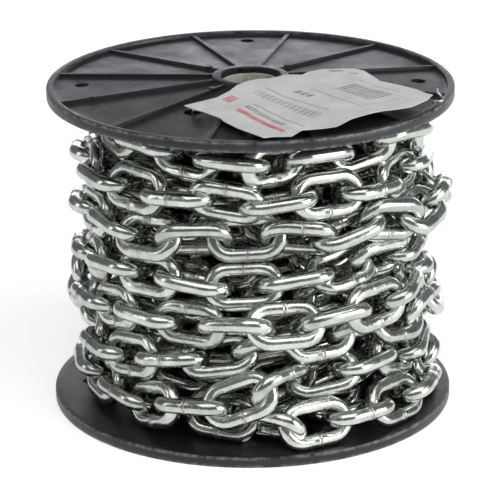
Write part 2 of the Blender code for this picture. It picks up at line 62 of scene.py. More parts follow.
# Across a rib: distance from its middle in millimetres, and share of its height
RIB_COLUMNS = [(-1.3, 0), (-1, 0.1), (-0.85, 0.85), (-0.6, 1), (0.6, 1), (0.85, 0.85), (1, 0.1), (1.3, 0)]

# Holes through both flanges, as radius, distance from the axis and angle
HOLES = [(2.7 * MM, 62 * MM, math.radians(angle)) for angle in (3, 91, 179, 269)]
HOLES.append((3.2 * MM, 43.4 * MM, math.radians(241.7)))
DRILL_SIDES = 28
DRILL_DEPTH = 30 * MM

# Round pads that the moulding's pins leave on the ribs, as distance and angle, and the key in the hub
PAD_RADIUS = 1.3 * MM
PAD_SIDES = 20
PAD_PROUD = 0.3 * MM            # above the rib's top, and as far into the plate
PAD_PLACES = [(20.5 * MM, math.radians(angle)) for angle in (48, 138, 228, 318)]
PAD_PLACES.append((59.8 * MM, math.radians(198)))
KEY_SIZE = (1.8 * MM, 3.6 * MM, 1.6 * MM)       # along the radius, across it and upward
KEY_ANGLE = math.radians(99)
KEY_RADIUS = BORE_RADIUS - 0.3 * MM             # of its middle
KEY_DEPTH = 1.2 * MM                            # of its middle, below the hub's top

TUBE_RADIUS = 10.7 * MM
TUBE_BORE = 9.5 * MM
TUBE_BOTTOM = 1 * MM
TUBE_TOP = 122.2 * MM
TUBE_SOFT = (0.25 * MM, 0.3 * MM)               # width and height of its soft edges
TUBE_GRID = (72, 26)                            # steps round it and levels
SEAM_DEPTH = 0.08 * MM
SEAM_EDGE = 0.96                                # cosine of half the angle that the seam spans
SEAM_RISE = 6 * MM                              # of the spiral seam, in each radian round the tube

# Chain
WIRE_RADIUS = 2.5 * MM
PITCH = 18.5 * MM
LINK_WIDTH = 17 * MM
DRAWN_WIRE = 2.75 * MM          # radius of the wire as drawn, fuller than the solids' thinned wire
DRAWN_WIDTH = 18 * MM
DRAWN_LIMIT = 74.95 * MM        # from the axis, for any point of a link
LINKS_PER_TURN = 21
TURN_COUNT = 8                  # the last turn runs on to the chain's end
CORE_RADIUS = 50 * MM           # that the outer layer rests on
CORE_NECK = 43 * MM             # and at the top, where it sinks in
CORE_SHOULDER = 99 * MM         # height where the neck begins
SHOULDER_SPAN = 1.3             # wire radii above it that a wire's middle reaches before it sinks in
CLEAR = 0.3 * MM                # between touching pieces

# The outer layer, row by row from the bottom. Links are numbered along the chain, twenty-one to a
# turn, with links 0, 21, 42... in front. An entry gives the number of the first joint that it places, then
# for each joint the angle from -Y towards +X and the height, then for each link between two joints its
# lean, the angle of its width above the level plane, and the radii of the winding from left to right.
# Angles are in degrees, heights and radii in millimetres.
TURNS = [
    (-1, [(-31, 12), (-13, 12), (4.5, 12), (23, 12), (41, 12), (59, 12), (77, 13)],
     [115, 25, 115, 30, 115, 30], [53, 55, 59, 62, 64, 65, 65]),
    (17, [(-86, 14), (-68, 14), (-50, 12), (-32, 13), (-17, 18.5), (1, 22.5), (19, 25.5), (35, 25), (53, 27),
          (71, 26)],
     [115, 25, 115, 25, 115, 30, 120, 25, 115], [60, 62, 64, 64, 64, 62, 61, 61, 62, 62]),
    (38, [(-76, 34), (-57, 32), (-39, 29), (-21, 34), (-3, 37), (14, 38), (30, 38.5), (47, 39), (64, 39),
          (81, 38)],
     [25, 110, 25, 115, 40, 120, 40, 115, 25], [61, 60.5, 60]),
    (58, [(-99, 50), (-84, 46), (-68, 46), (-51, 44.5), (-30, 49.5), (-12, 49), (6, 49.5), (23, 50), (40, 51),
          (56, 49.5), (74, 47)],
     [130, 20, 110, 20, 110, 20, 110, 20, 110, 20], [69, 67, 61, 60, 60, 59.5, 59]),
    (80, [(-87, 60), (-70, 60), (-50, 61.5), (-33, 63.5), (-15, 68), (3, 70.5), (20, 71), (38, 69), (55, 66),
          (73, 60)],
     [110, 20, 110, 20, 110, 45, 145, 60, 145], [65, 61, 60, 61, 61]),
    (101, [(-81, 77), (-62, 78), (-44, 80.5), (-27, 81.5), (-9, 85.5), (8, 88), (22, 84.5), (36, 81),
           (54, 78), (71, 77), (87, 80)],
     [110, 15, 75, 25, 130, 65, 10, 105, 15, 70], [60, 59, 60, 61, 67, 69]),
    (122, [(-85, 92), (-66, 92), (-48, 92.5), (-31, 92.5), (-15, 96.5), (3, 98.5), (22, 96.5), (41, 94.5),
           (59, 93), (77, 91)],
     [110, 15, 75, 25, 130, 15, 120, 20, 110], [57, 59, 60, 60, 60]),
    (141, [(-107, 103), (-88, 104), (-70, 104), (-54, 103), (-39, 102.5), (-21, 103), (-2, 107), (17, 107),
           (34, 108), (53, 107), (71, 102), (88, 100)],
     [110, 20, 110, 20, 110, 15, 120, 25, 115, 20, 115], [49, 49, 55, 60, 60, 58]),
    (154, [(-235, 107), (-217, 109), (-199, 110), (-181, 110), (-163, 110), (-145, 110), (-127, 110)],
     [45, 135, 45, 135, 45, 135], [59, 57, 56]),
]
BACK_SPREAD = 1.5 * MM          # of the joints' heights and radii where the chain can't be seen
BACK_LEAN_SPREAD = 12           # degrees

# Settling of the links
ROUNDS = 240
WIRE_SPACING = 5.9 * MM         # between the middles of two wires of different links
FIRST_SPACING = 0.7             # share of the spacing that holds in the first round
SPACING_GROWTH = 0.5            # what is added to it while the links settle, up to the whole
CLOSING = 0.8                   # share of the rounds after which nothing holds or draws the links
NEAR = 30 * MM                  # links whose middles lie further apart aren't compared
OUTER_LIMIT = 72 * MM           # for the middle of a wire
OFF_FLANGE = 1.1                # wire radii between a wire's middle and a flange
OFF_WALL = 1.2                  # and between it and what the layer rests on
TURNING = 0.3                   # how readily a push turns a link
EVENING = 0.9                   # power of the number of pushed points that divides their sum
EVENING_DROP = 0.4              # what is taken from it while the links settle
TWIST_LIMIT = math.radians(32)  # of a link's lean on the next, either way from square
HOLD = 0.05                     # pull of the outer links towards where they began
PITCH_ROUNDS = 12               # of evening out the pitch, in each round
STEPS_ROUND_LINK = 24
SEED = 7

# The winding under the outer layer, and the plain drum that stands for the turns below it
INNER_TURNS = 6
INNER_LINKS_PER_TURN = 15
INNER_RADIUS = 44.2 * MM
INNER_BOTTOM = 12 * MM
INNER_RISE = 13.2 * MM          # in each turn
INNER_SPREAD = 1 * MM           # of the joints' heights and radii
INNER_LEAN = 30                 # degrees
INNER_LEAN_SPREAD = 15          # degrees
INNER_ROUNDS = 160
INNER_SPACING = 5.2 * MM
INNER_SEED = 6
OUTWARD_DRAW = 0.05 * MM        # in each round
INNER_WALL = 34 * MM            # least radius that the inner links' wires keep
DRUM_RADIUS = 33 * MM
DRUM_LUMPS = 0.8 * MM           # that its lumps are measured by
DRUM_GRID = (96, 60)            # steps round it and levels

# Places along a link's two sides, as shares of half their length. On the welded side each place has how
# much thicker the wire is there and how much weld its surface shows
WELDED_SIDE = [(-1, 1, 0), (-0.55, 1, 0), (-0.23, 1, 0), (-0.13, 1.05, 0.25), (-0.05, 1.06, 0.5),
               (0, 0.96, 1), (0.05, 1.06, 0.5), (0.13, 1.05, 0.25), (0.23, 1, 0), (0.55, 1, 0), (1, 1, 0)]
OTHER_SIDE = (1, 0.4, -0.4, -1)
INNER_WELDED_SIDE = [(-1, 1, 0), (0, 1, 0), (1, 1, 0)]
INNER_OTHER_SIDE = (1, -1)
WIRE_SPREAD = 0.02              # of the wire's thickness, from link to link
OUTER_LOOKS_SEED = 11           # of the links' tones, thickness and welds
INNER_LOOKS_SEED = 3
OUTER_BEND_STEPS = 10           # at each end of a link
INNER_BEND_STEPS = 6
OUTER_WIRE_SIDES = 16
INNER_WIRE_SIDES = 10

# Label: its four edges as x, y and height above the upper rim in millimetres, read off the photograph
LABEL_REAR = [(-23.6, -37, 1.9), (-17.3, -33.4, 2.2), (-12, -30, 2.6), (-7.4, -22.5, 2.9), (-5.2, -18, 3.4),
              (-1.2, -12.3, 3.6), (2.5, -8.6, 3.6), (8.6, -6.3, 3.6), (12.7, -2.7, 3.6), (19, -3.6, 3.4),
              (20.9, -0.5, 3.4), (26.5, 2, 3.9), (33.8, 1.1, 4.4), (38.2, 0.8, 4.4)]
LABEL_RIGHT = [(38.2, 0.8, 4.4), (41.8, -0.4, 3.9), (45.2, -5.2, 2.9), (47.2, -8.9, 2.4), (55, -13.6, 1.9),
               (60, -18.6, 1.9), (63.4, -24, 1.9), (65.4, -25.4, 1.9)]
LABEL_FRONT = [(4.3, -72.7, 0.8), (7, -71.2, 0.8), (14, -70.8, 0.8), (15.7, -68, 0.9), (17.5, -67.8, 1.9),
               (25, -63.7, 1.2), (29.7, -62.2, 1.4), (35, -58.5, 2.9), (45.8, -49.7, 2.9), (56.9, -41.8, 2.6),
               (63, -33, 2.2), (65.4, -25.4, 1.9)]
LABEL_LEFT = [(-23.6, -37, 1.9), (-20.7, -40.3, 1.7), (-17.3, -43.2, 1.4), (-10.9, -50.3, 1.2),
              (-9.4, -54.2, 0.9), (-4.2, -62, 0.8), (0.2, -67.5, 0.8), (4.3, -72.7, 0.8)]
LABEL_THICKNESS = 0.22 * MM
LABEL_LIFT = 0.3 * MM           # above the ribs and the hub
LABEL_GRID = (96, 64)           # steps along and across it
LABEL_CRUMPLE = 0.9 * MM        # that its waves are measured by

# Plain marks in place of the label's print: from and to, along the label and then across it from the rear;
# the ink and how strong it is; and for a ruled mark the way its lines follow each other, how many of them
# the whole label would hold, and the share of their pitch that they fill
INKS = {"red": (0.62, 0.07, 0.09), "dark": (0.10, 0.10, 0.11), "grey": (0.34, 0.35, 0.37)}
LABEL_MARKS = [
    (0.165, 0.245, 0.06, 0.15, "red", 0.75, None),
    (0.12, 0.15, 0.30, 0.90, "red", 0.85, None),
    (0.175, 0.205, 0.30, 0.80, "dark", 0.8, ("across", 26, 0.62)),
    (0.23, 0.25, 0.30, 0.90, "grey", 0.7, None),
    (0.02, 0.14, 0.925, 0.935, "grey", 0.7, None),
    (0.34, 0.395, 0.16, 0.78, "grey", 0.7, ("across", 21, 0.7)),
    (0.425, 0.44, 0.16, 0.78, "dark", 0.6, ("across", 60, 0.6)),
    (0.50, 0.54, 0.33, 0.50, "dark", 0.75, ("across", 18, 0.6)),
    (0.58, 0.595, 0.34, 0.84, "dark", 0.6, ("across", 64, 0.6)),
    (0.62, 0.63, 0.60, 0.86, "grey", 0.6, ("across", 70, 0.6)),
    (0.68, 0.84, 0.37, 0.72, "dark", 0.8, ("across", 27, 0.55)),
    (0.893, 0.902, 0.30, 0.70, "grey", 0.8, None),
    (0.60, 0.86, 0.80, 0.825, "grey", 0.5, ("along", 54, 0.55)),
    (0.84, 0.90, 0.05, 0.11, "dark", 0.9, ("across", 34, 0.7)),
    (0.90, 0.95, 0.14, 0.17, "grey", 0.8, None),
]

# Ties of thin wire, as x, y and height above the upper rim in millimetres
TIE_RADIUS = 0.45 * MM
LABEL_TIE = [(66.9, -25, 4.2), (67.2, -26.4, 3), (68.2, -27.4, 2.1), (68.6, -28.9, 1.3), (67.4, -30, 0.9),
             (66, -29.6, 0.8), (65.2, -30.6, 0.8)]
END_TIE = [(-20.6, -38.2, -3.8), (-20.6, -38.2, -0.4), (-20.1, -38.6, 0.7), (-18.8, -39.3, 1),
           (-17.2, -39.9, 0.8)]

# Camera, solved from the ellipses of the flanges in the 500 by 500 photograph
CAMERA_PLACE = (0, -0.9653, 0.3971)
CAMERA_PITCH = math.radians(19.455)
CAMERA_ROLL = -0.0074           # radians
CAMERA_AZIMUTH = math.radians(-0.036)
FOCAL_PIXELS = 2726
IMAGE_SIZE = 500
SENSOR = 36                     # millimetres

# Soft boxes: name, place, size, watts and colour
LIGHTS = [
    ("key_box", (0.1, -0.72, 1.4), (1.9, 1.1), 13.2, (1.0, 1.0, 0.98)),
    ("back_box", (0.25, 1.25, 0.24), (1.4, 0.4), 4.1, (0.94, 0.95, 1.0)),
    ("left_box", (-1.0, -0.3, 0.45), (0.3, 0.7), 1.2, (1, 1, 1)),
    ("right_box", (1.0, -0.5, 0.32), (0.6, 0.6), 7.5, (1, 1, 1)),
]
LIGHT_TARGET = (0, 0, 0.06)
FLOOR_DROP = 0.02 * MM          # below the reel's underside
FLOOR_REACH = 4                 # metres, from its middle to each side


# Materials


class Nodes:
    """Short calls for building one material's nodes."""

    def __init__(self, name):
        self.material = bpy.data.materials.new(name)
        self.material.use_nodes = True
        self.tree = self.material.node_tree
        self.shader = self.tree.nodes["Principled BSDF"]
        self.place = self.add("ShaderNodeTexCoord").outputs["Object"]

    def add(self, kind, **settings):
        """Add a node with its settings."""
        node = self.tree.nodes.new(kind)
        for key, value in settings.items():
            setattr(node, key, value)
        return node

    def link(self, source, target):
        self.tree.links.new(source, target)

    def noise(self, scale, detail=3.0, roughness=0.55, stretch=None, distortion=0.0):
        """Noise over the row's coordinates, 0 to 1."""
        node = self.add("ShaderNodeTexNoise")
        node.inputs["Scale"].default_value = scale
        node.inputs["Detail"].default_value = detail
        node.inputs["Roughness"].default_value = roughness
        node.inputs["Distortion"].default_value = distortion
        source = self.place
        if stretch:
            mapping = self.add("ShaderNodeMapping")
            mapping.inputs["Scale"].default_value = stretch
            self.link(source, mapping.inputs["Vector"])
            source = mapping.outputs["Vector"]
        self.link(source, node.inputs["Vector"])
        return node.outputs["Fac"]

    def spread(self, source, low, high, start=0.35, end=0.65):
        """Map a value from between start and end to between low and high."""
        node = self.add("ShaderNodeMapRange", clamp=True)
        for key, value in (("From Min", start), ("From Max", end), ("To Min", low), ("To Max", high)):
            node.inputs[key].default_value = value
        self.link(source, node.inputs["Value"])
        return node.outputs["Result"]

    def put(self, value, socket):
        """Give a socket a value: another socket, a number, or red, green and blue."""
        if hasattr(value, "links"):
            self.link(value, socket)
        elif isinstance(value, tuple):
            socket.default_value = (*value, 1)
        else:
            socket.default_value = value

    def mix(self, factor, one, two, blend="MIX"):
        """Mix two colours, given as sockets or as red, green and blue."""
        node = self.add("ShaderNodeMix", data_type="RGBA", blend_type=blend)
        colour_inputs = [socket for socket in node.inputs if socket.type == "RGBA"]
        for value, socket in ((factor, node.inputs[0]), (one, colour_inputs[0]), (two, colour_inputs[1])):
            self.put(value, socket)
        return next(socket for socket in node.outputs if socket.type == "RGBA")

    def math(self, operation, one, two=0.0):
        """Work out a value from one or two, given as sockets or numbers."""
        node = self.add("ShaderNodeMath", operation=operation)
        for value, socket in zip((one, two), node.inputs):
            self.put(value, socket)
        return node.outputs["Value"]

    def parts(self, source):
        """The three parts of a vector."""
        node = self.add("ShaderNodeSeparateXYZ")
        self.link(source, node.inputs["Vector"])
        return node.outputs["X"], node.outputs["Y"], node.outputs["Z"]

    def attribute(self, name):
        """A value that the mesh holds for each of its points."""
        return self.add("ShaderNodeAttribute", attribute_name=name).outputs["Fac"]

    def bump(self, height, distance, strength):
        """Roughen the surface by a height."""
        node = self.add("ShaderNodeBump")
        node.inputs["Distance"].default_value = distance
        node.inputs["Strength"].default_value = strength
        self.link(height, node.inputs["Height"])
        self.link(node.outputs["Normal"], self.shader.inputs["Normal"])

    def colour(self, source):
        self.link(source, self.shader.inputs["Base Color"])

    def roughness(self, source):
        self.link(source, self.shader.inputs["Roughness"])


def zinc(name, bright, dark):
    """Bright zinc plating: cloudy tone, slightly wavy surface, a dull mark at each weld."""
    n = Nodes(name)
    n.shader.inputs["Metallic"].default_value = 1.0
    cloud = n.spread(n.noise(190, 4.0, 0.6), 0.0, 1.0, 0.32, 0.62)
    tone = n.mix(cloud, dark, bright)
    per_link = n.spread(n.attribute("tone"), 0.8, 1.08, 0.0, 1.0)
    shaded = n.add("ShaderNodeCombineColor")
    for socket in shaded.inputs:
        n.link(per_link, socket)
    tone = n.mix(1.0, tone, shaded.outputs["Color"], "MULTIPLY")
    weld = n.attribute("weld")
    n.colour(n.mix(weld, tone, (0.3, 0.3, 0.28)))
    fine = n.spread(n.noise(700, 5.0, 0.7), 0.13, 0.28, 0.38, 0.62)
    n.roughness(n.math("ADD", fine, n.math("MULTIPLY", weld, 0.22)))
    wavy = n.math("ADD", n.noise(230, 3.0, 0.5), n.math("MULTIPLY", n.noise(1400, 3.0, 0.6), 0.12))
    n.bump(wavy, 0.35 * MM, 0.34)
    return n.material


def scuffs_and_edge_highlights(n):
    """How much the plastic is lightened, partly as scuffs and partly as painted highlights, on the outer
    edges of both rims and the inner edge of their open sides.
    """
    x, y, z = n.parts(n.place)
    radius = n.math("SQRT", n.math("ADD", n.math("MULTIPLY", x, x), n.math("MULTIPLY", y, y)))
    from_middle = n.math("ABSOLUTE", n.math("SUBTRACT", z, REEL_HEIGHT / 2))
    from_mid_rim = n.math("ABSOLUTE", n.math("SUBTRACT", from_middle, (REEL_HEIGHT - RIM_HEIGHT) / 2))
    outside = n.spread(radius, 0.0, 1.0, FLANGE_RADIUS - 0.9 * MM, FLANGE_RADIUS - 0.4 * MM)
    outer = n.math("MULTIPLY", outside, n.spread(from_mid_rim, 0.0, 1.0, 0.7 * MM, 1.6 * MM))
    off_inner = n.math("ABSOLUTE", n.math("SUBTRACT", radius, INNER_RIM))
    inner = n.math("MULTIPLY", n.math("LESS_THAN", off_inner, 0.3 * MM),
                   n.math("GREATER_THAN", from_middle, REEL_HEIGHT / 2 - 0.6 * MM))
    patches = n.spread(n.noise(260, 5.0, 0.75), 0.0, 1.0, 0.42, 0.58)
    worn_and_highlit = n.math("MULTIPLY", n.math("MAXIMUM", outer, n.math("MULTIPLY", inner, 0.7)), patches)
    return worn_and_highlit, n.math("MULTIPLY", outer, n.noise(420, 4.0, 0.7))


def moulded_plastic():
    """Black polypropylene: satin, faintly mottled, with a fine moulded grain, and scuffed edges lightened
    partly as painted highlights.
    """
    n = Nodes("black_plastic")
    worn_and_highlit, scratches = scuffs_and_edge_highlights(n)
    mottle = n.spread(n.noise(28, 5.0, 0.6), 0.0, 1.0)
    clean = n.mix(mottle, (0.0075, 0.008, 0.0095), (0.015, 0.0155, 0.0185))
    # The rims' edges are painted lighter: partly scuff wear, partly painted highlight along the edges.
    n.colour(n.mix(worn_and_highlit, clean, (0.15, 0.152, 0.155)))
    blotches = n.spread(n.noise(60, 6.0, 0.7), 0.27, 0.43)
    satin = n.math("ADD", blotches, n.spread(n.noise(700, 3.0, 0.6), 0.0, 0.06))
    n.roughness(n.math("ADD", satin, n.math("MULTIPLY", worn_and_highlit, 0.2)))
    grain = n.math("ADD", n.noise(2600, 2.0, 0.5), n.math("MULTIPLY", n.noise(120, 4.0, 0.6), 1.6))
    n.bump(n.math("ADD", grain, scratches), 0.06 * MM, 0.6)
    n.shader.inputs["Specular IOR Level"].default_value = 0.42
    return n.material


def cardboard():
    """Pale cardboard with short fibres along the tube."""
    n = Nodes("cardboard")
    fibres = n.noise(420, 5.0, 0.7, stretch=(1, 1, 0.25))
    n.colour(n.mix(n.spread(fibres, 0.0, 1.0), (0.31, 0.31, 0.245), (0.42, 0.44, 0.385)))
    n.shader.inputs["Roughness"].default_value = 0.9
    n.bump(fibres, 0.12 * MM, 0.6)
    return n.material


def tie_wire():
    """Thin steel wire, spotted and a little dull."""
    n = Nodes("tie_wire")
    n.shader.inputs["Metallic"].default_value = 1.0
    n.colour(n.mix(n.spread(n.noise(800, 3.0), 0.0, 1.0), (0.45, 0.45, 0.42), (0.75, 0.75, 0.72)))
    n.roughness(n.spread(n.noise(1500, 2.0), 0.22, 0.4))
    n.bump(n.noise(1800, 2.0), 0.05 * MM, 0.5)
    return n.material


def paper():
    """Off-white label paper with fibres, faint creases and plain printed marks."""
    n = Nodes("label_paper")
    along, across, _ = n.parts(n.add("ShaderNodeUVMap", uv_map="sheet").outputs["UV"])

    def within(value, low, high):
        return n.math("MULTIPLY", n.math("GREATER_THAN", value, low), n.math("LESS_THAN", value, high))

    colour = n.mix(n.spread(n.noise(90, 4.0, 0.6), 0.0, 1.0), (0.62, 0.62, 0.61), (0.72, 0.722, 0.715))
    rubbed = n.spread(n.noise(240, 4.0, 0.7), 0.7, 1.0, 0.4, 0.6)
    for left, right, rear, front, ink, strength, ruling in LABEL_MARKS:
        mark = n.math("MULTIPLY", within(along, left, right), within(across, rear, front))
        if ruling:
            way, count, share = ruling
            lines = n.math("MULTIPLY", along if way == "along" else across, count)
            mark = n.math("MULTIPLY", mark, n.math("LESS_THAN", n.math("FRACT", lines), share))
        colour = n.mix(n.math("MULTIPLY", n.math("MULTIPLY", mark, rubbed), strength), colour, INKS[ink])
    n.colour(colour)
    n.shader.inputs["Roughness"].default_value = 0.72
    fibres = n.math("MULTIPLY", n.noise(1600, 3.0), 0.08)
    n.bump(n.math("ADD", n.noise(70, 4.0, 0.6, distortion=0.6), fibres), 0.7 * MM, 0.5)
    return n.material


def floor_white():
    """The pale floor, which gives some light of its own so that it stays white to its edges."""
    n = Nodes("floor")
    n.colour(n.mix(n.spread(n.noise(3, 2.0), 0.0, 1.0), (0.90, 0.90, 0.90), (0.92, 0.92, 0.92)))
    n.shader.inputs["Roughness"].default_value = 0.8
    n.shader.inputs["Specular IOR Level"].default_value = 0.1
    n.shader.inputs["Emission Color"].default_value = (1, 1, 1, 1)
    n.shader.inputs["Emission Strength"].default_value = 0.5
    return n.material


# Meshes


def add_piece(name, data, finish, replaced):
    """Put a mesh or a curve in the scene as a piece of the object."""
    data.materials.append(finish)
    piece = bpy.data.objects.new(name, data)
    bpy.context.scene.collection.objects.link(piece)
    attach(piece, "root")
    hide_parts(*replaced)


def add_smooth(name, mesh, finish, replaced, sharp_angle=None):
    """Put a mesh in the scene with smooth faces, and sharp edges above an angle in degrees."""
    mesh.shade_smooth()
    if sharp_angle:
        mesh.set_sharp_from_angle(angle=math.radians(sharp_angle))
    add_piece(name, mesh, finish, replaced)


def mesh_of(name, points, faces):
    """A mesh from its points and its faces' point numbers."""
    mesh = bpy.data.meshes.new(name)
    mesh.from_pydata([tuple(p) for p in points], [], [tuple(int(i) for i in f) for f in faces])
    mesh.validate()
    return mesh


def ring_faces(rings, around):
    """Faces between closed rings of points, numbered ring by ring, the last ring joined to the first."""
    here, following = np.meshgrid(np.arange(rings), np.arange(around), indexing="ij")
    up, right = (here + 1) % rings, (following + 1) % around
    return np.stack([here * around + following, up * around + following, up * around + right,
                     here * around + right], axis=-1).reshape(-1, 4)


# Reel


def rise(radius, dish):
    """How far a dished plate stands, at a radius, above its height at the rim."""
    slope = dish / (INNER_RIM - HUB_RADIUS)
    return slope * min(INNER_RIM - HUB_RADIUS, max(0, INNER_RIM - radius))


def flange_section(dish):
    """Closed section of a flange as (radius, height, raised by the ribs), rim's top at height zero."""

    def corner(radius, height, offsets, raised=0):
        """Points round a corner, as distances from it in millimetres."""
        return [(radius + outward * MM, height + upward * MM, raised) for outward, upward in offsets]

    def plate(radii, height, raised=0):
        """Points of the plate at radii in millimetres."""
        return [(r * MM, rise(r * MM, dish) + height, raised) for r in radii]

    return (corner(BORE_RADIUS, dish - RIM_HEIGHT, [(0, 0.3), (0.3, 0)])
            + plate((HUB_RADIUS / MM, 22, 32, 42, 52, 62, INNER_RIM / MM), -RIM_HEIGHT)
            + corner(FLANGE_RADIUS, -RIM_HEIGHT, [(-0.5, 0), (-0.15, 0.15), (0, 0.5)])
            + corner(FLANGE_RADIUS, 0, [(0, -0.5), (-0.15, -0.15), (-0.5, 0)])
            + corner(INNER_RIM, 0, [(0.4, 0), (0.1, -0.1), (0, -0.35)])
            + corner(INNER_RIM, PLATE_TOP, [(-0.1, 0.6), (-0.3, 0.25), (-0.8, 0)], 1)
            + plate((69, 64, 58, 52, 46, 40, 34, 28, 22, 17), PLATE_TOP, 1)
            + corner(HUB_RADIUS, dish + PLATE_TOP, [(0.7, 0), (0.2, 0.25), (0, 0.7)], 1)
            + corner(HUB_RADIUS, dish, [(0, -0.35), (-0.1, -0.1), (-0.35, 0)])
            + corner(BORE_RADIUS, dish, [(0.35, 0), (0, -0.35)]))


def flange_mesh(name, dish, height, facing):
    """A flange's ribbed surface, column by column: across each rib, then over the panel after it."""
    section = flange_section(dish)
    rib_edge = RIB_COLUMNS[-1][0] * MM
    points = []
    for i in range(RIBS):
        angle = FIRST_RIB + 2 * math.pi * i / RIBS
        for from_middle, share in RIB_COLUMNS:
            for r, z, raised in section:
                if raised:
                    z = max(z, PLATE_TOP + rise(r, dish) - share * (RIB_SUNK + PLATE_TOP))
                beside = from_middle * MM
                along = math.sqrt(r * r - beside * beside)
                points.append((along * math.cos(angle) - beside * math.sin(angle),
                               along * math.sin(angle) + beside * math.cos(angle), z))
        for k in range(1, PANEL_STEPS):
            for r, z, _ in section:
                off = math.asin(rib_edge / r)
                a = angle + off + (2 * math.pi / RIBS - 2 * off) * k / PANEL_STEPS
                points.append((r * math.cos(a), r * math.sin(a), z))
    points = np.array(points) * (1, facing, facing) + (0, 0, height)
    mesh = mesh_of(name, points, ring_faces(len(points) // len(section), len(section)))
    shape = bmesh.new()
    shape.from_mesh(mesh)
    bmesh.ops.recalc_face_normals(shape, faces=shape.faces)
    shape.to_mesh(mesh)
    shape.free()
    return mesh


def add_cylinder(shape, radius, depth, sides, middle):
    """Add an upright cylinder to a bmesh."""
    bmesh.ops.create_cone(shape, cap_ends=True, segments=sides, radius1=radius, radius2=radius,
                          depth=depth, matrix=Matrix.Translation(middle))


def drilled(mesh, height, facing):
    """The mesh with a flange's small holes cut through it."""
    work = bpy.data.objects.new(mesh.name + "_work", mesh)
    bpy.context.scene.collection.objects.link(work)
    for radius, distance, angle in HOLES:
        shape = bmesh.new()
        add_cylinder(shape, radius, DRILL_DEPTH, DRILL_SIDES,
                     (distance * math.cos(angle), facing * distance * math.sin(angle), height))
        drill_mesh = bpy.data.meshes.new("drill")
        shape.to_mesh(drill_mesh)
        shape.free()
        drill = bpy.data.objects.new("drill", drill_mesh)
        bpy.context.scene.collection.objects.link(drill)
        cut = work.modifiers.new("cut", "BOOLEAN")
        cut.operation = "DIFFERENCE"
        cut.solver = "EXACT"
        cut.object = drill
    made = bpy.data.meshes.new_from_object(work.evaluated_get(bpy.context.evaluated_depsgraph_get()))
    for item in [modifier.object for modifier in work.modifiers] + [work]:
        bpy.data.objects.remove(item, do_unlink=True)
    made.materials.clear()
    return made


def add_moulding_marks(mesh, dish, height, facing):
    """Round pads on the ribs, and the key in the hub of the flange that faces up."""
    shape = bmesh.new()
    shape.from_mesh(mesh)
    for distance, angle in PAD_PLACES:
        low = PLATE_TOP + rise(distance, dish) - PAD_PROUD
        high = rise(distance, dish) - RIB_SUNK + PAD_PROUD
        add_cylinder(shape, PAD_RADIUS, high - low, PAD_SIDES,
                     (distance * math.cos(angle), facing * distance * math.sin(angle),
                      height + facing * (low + high) / 2))
    if facing > 0:
        middle = (KEY_RADIUS * math.cos(KEY_ANGLE), KEY_RADIUS * math.sin(KEY_ANGLE),
                  height + dish - KEY_DEPTH)
        turned = Matrix.Translation(middle) @ Matrix.Rotation(KEY_ANGLE, 4, "Z")
        bmesh.ops.create_cube(shape, size=1, matrix=turned @ Matrix.Diagonal((*KEY_SIZE, 1)))
    shape.to_mesh(mesh)
    shape.free()


def add_flange(name, dish, height, facing, finish):
    """One flange, with its rim's ribbed side at a height and facing up (1) or down (-1)."""
    mesh = drilled(flange_mesh(name, dish, height, facing), height, facing)
    add_moulding_marks(mesh, dish, height, facing)
    add_smooth(name + "_moulding", mesh, finish, [name], sharp_angle=32)


def add_tube(finish):
    """The cardboard tube, with soft edges and a faint spiral seam in its bore."""
    around, levels = TUBE_GRID
    soft_width, soft_height = TUBE_SOFT
    heights = np.linspace(TUBE_BOTTOM + soft_height, TUBE_TOP - soft_height, levels)
    section = [(TUBE_RADIUS, z) for z in heights]
    section += [(TUBE_RADIUS - soft_width, TUBE_TOP), (TUBE_BORE + soft_width, TUBE_TOP)]
    section += [(TUBE_BORE, z) for z in heights[::-1]]
    section += [(TUBE_BORE + soft_width, TUBE_BOTTOM), (TUBE_RADIUS - soft_width, TUBE_BOTTOM)]
    points = []
    for i in range(around):
        a = 2 * math.pi * i / around
        for r, z in section:
            if r == TUBE_BORE and math.cos(a - z / SEAM_RISE) > SEAM_EDGE:
                r += SEAM_DEPTH
            points.append((r * math.cos(a), r * math.sin(a), z))
    mesh = mesh_of("tube", points, ring_faces(around, len(section)))
    add_smooth("cardboard_tube", mesh, finish, ["core_tube"], sharp_angle=40)


# Chain links


def core_radius(height):
    """How far in the outer layer's wires can sink, against the winding under it."""
    return np.where(height < CORE_SHOULDER + SHOULDER_SPAN * WIRE_RADIUS, CORE_RADIUS, CORE_NECK)


def wound_links():
    """The chain before it settles: the points where links bear on each other, and each link's lean."""
    numbers, places, links, leans = [], [], [], []
    for turn, (first, joints, leaning, radii) in enumerate(TURNS):
        reach = np.interp(np.linspace(0, 1, len(joints)), np.linspace(0, 1, len(radii)), radii)
        for k, (angle, height) in enumerate(joints):
            numbers.append(first + k)
            places.append((angle + 360 * turn, height * MM, reach[k] * MM))
        for k, lean in enumerate(leaning):
            links.append(first + k)
            leans.append(lean - 90 * (first + k))
    numbers, places = np.array(numbers), np.array(places)
    every_joint = np.arange(numbers[0], numbers[-1] + 1)
    every_link = every_joint[:-1]
    angle, height, radius = (np.interp(every_joint, numbers, places[:, i]) for i in range(3))
    lean = np.interp(every_link, links, np.unwrap(leans, period=180))

    rng = np.random.default_rng(SEED)
    unseen = ~np.isin(every_joint, numbers) * BACK_SPREAD
    height += unseen * rng.uniform(-1, 1, len(every_joint))
    radius += unseen * rng.uniform(-1, 1, len(every_joint))
    lean += ~np.isin(every_link, links) * BACK_LEAN_SPREAD * rng.uniform(-1, 1, len(every_link))
    angle = np.radians(angle)
    joints = np.stack([radius * np.sin(angle), -radius * np.cos(angle), height], axis=1)
    return every_link, joints, np.radians(lean + 90 * every_link)


